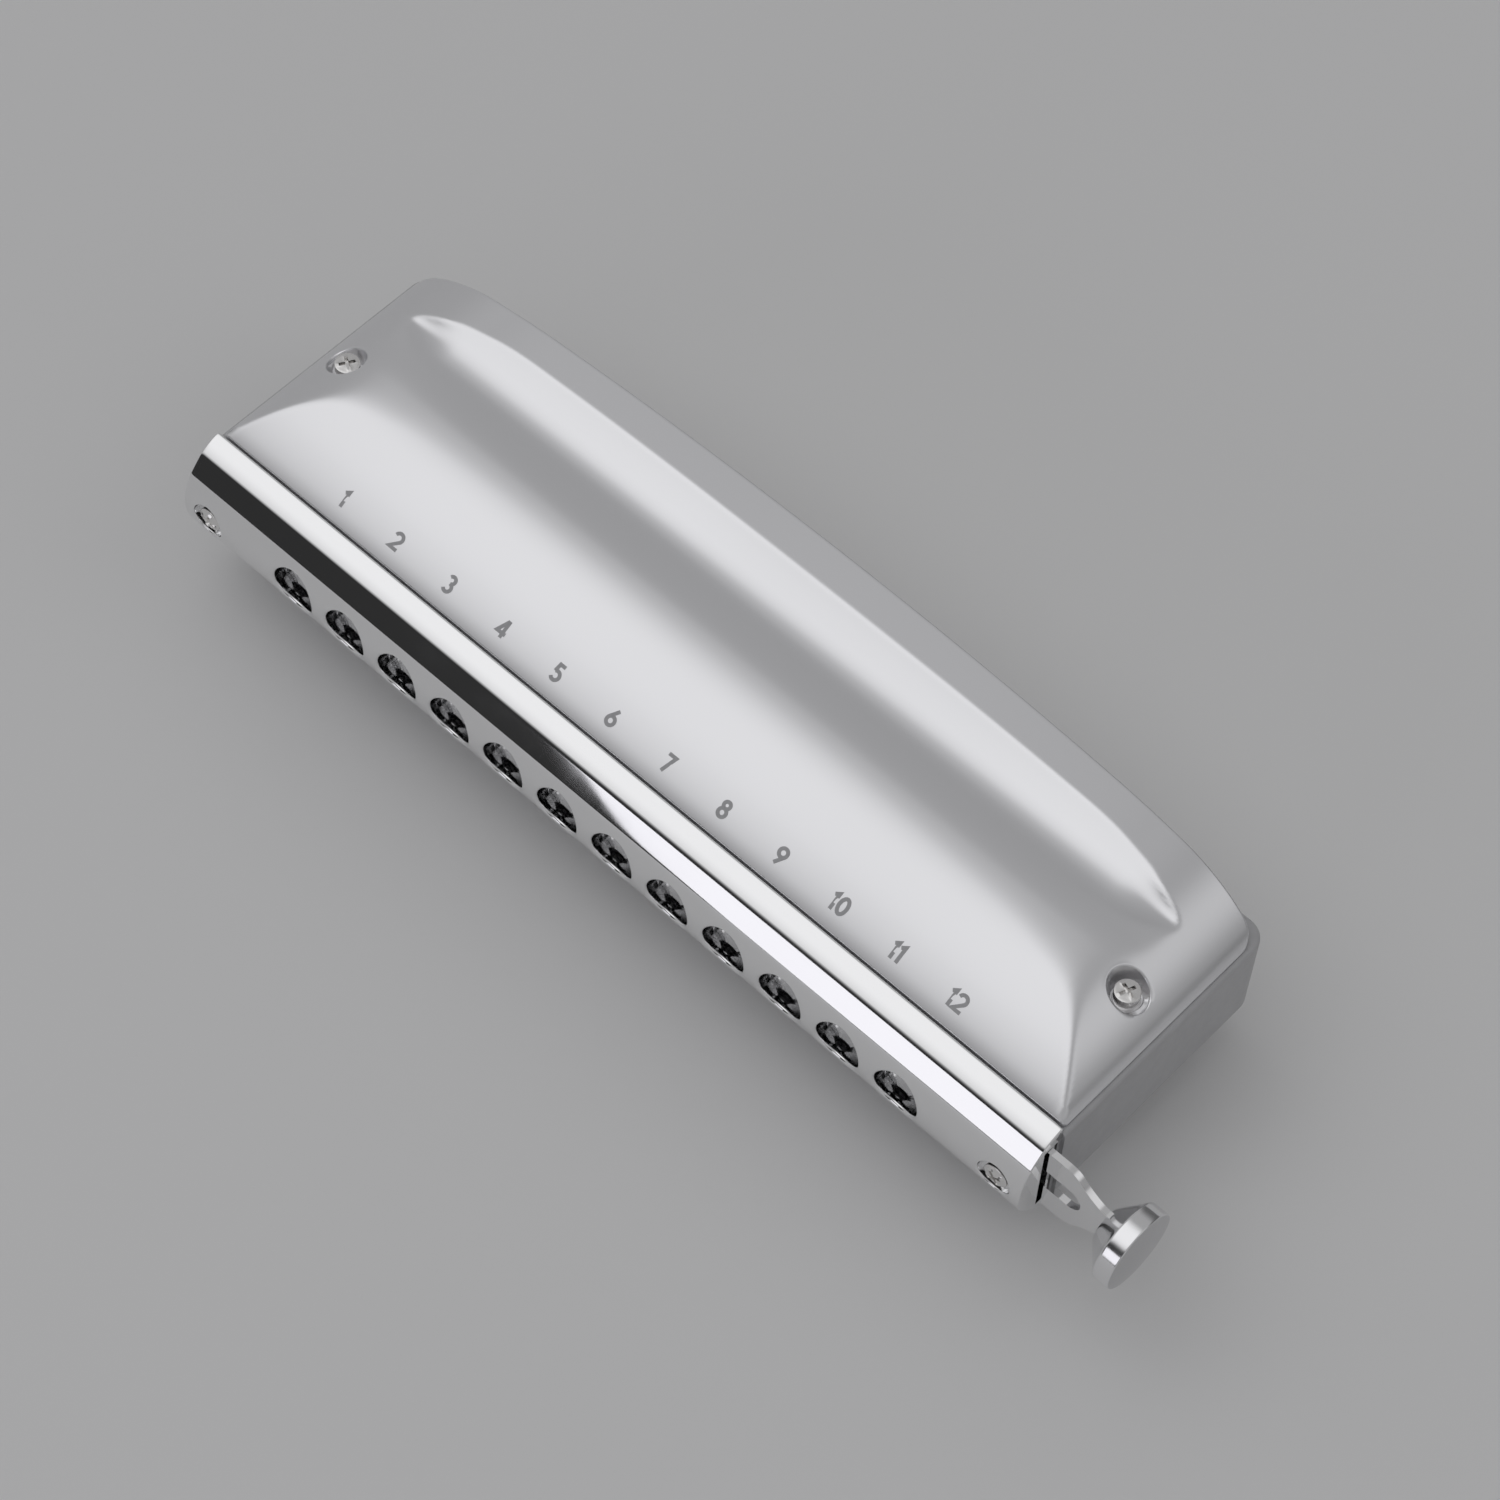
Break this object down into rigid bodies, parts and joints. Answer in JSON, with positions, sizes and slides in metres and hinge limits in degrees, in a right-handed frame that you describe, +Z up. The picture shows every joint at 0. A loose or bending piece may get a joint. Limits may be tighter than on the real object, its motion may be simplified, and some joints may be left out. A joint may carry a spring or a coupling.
{
  "type": "chromatic harmonica",
  "caption": "Slide chromatic harmonica: round-holed mouthpiece, bowed covers open at the back, reed plates on a comb, and a sprung slide with a round end button.",
  "frame": {"origin": "centre of the bounding box's underside, so that the lower cover's ridge stands on Z = 0 and the comb's mid-plane is half way up", "axes": "+X along the body towards the slide's button, +Y from the mouthpiece to the open back, +Z up"},
  "size_m": [0.1582, 0.0458, 0.0322],
  "materials": {
    "cover_plating": "satin chrome plating",
    "mouthpiece_plating": "polished plating",
    "screw_plating": "polished plating",
    "comb_body": "satin silver-grey",
    "reed_brass": "milled",
    "valve_film": "matt film",
    "bumper_silicone": "soft translucent silicone",
    "gasket_rubber": "matt",
    "spring_steel": "plain steel"
  },
  "bodies": {
    "body": {"comb": "comb_body", "comb_gasket": "gasket_rubber", "lower_blow_reeds": "reed_brass", "lower_cover": "cover_plating", "lower_cover_screws": "screw_plating", "lower_draw_reeds": "reed_brass", "lower_plate_screws": "spring_steel", "lower_reed_plate": "reed_brass", "lower_rivets": "reed_brass", "lower_valves": "valve_film", "mouthpiece": "mouthpiece_plating", "mouthpiece_screws": "screw_plating", "slide_back_plate": "spring_steel", "slide_bumpers": "bumper_silicone", "slide_front_plate": "spring_steel", "slide_spring": "spring_steel", "spring_post": "spring_steel", "threaded_inserts": "reed_brass", "upper_blow_reeds": "reed_brass", "upper_cover": "cover_plating", "upper_cover_screws": "screw_plating", "upper_draw_reeds": "reed_brass", "upper_plate_screws": "spring_steel", "upper_reed_plate": "reed_brass", "upper_rivets": "reed_brass", "upper_valves": "valve_film"},
    "slide": {"slide": "mouthpiece_plating", "slide_button": "mouthpiece_plating"}
  },
  "joints": [
    {"name": "slide_travel", "type": "slide", "parent": "body", "child": "slide", "axis": [-1, 0, 0], "range_m": [0, 0.0047], "stiffness_N_per_m": 250, "springref_m": -0.0055, "deforming": ["slide_spring"]}
  ]
}
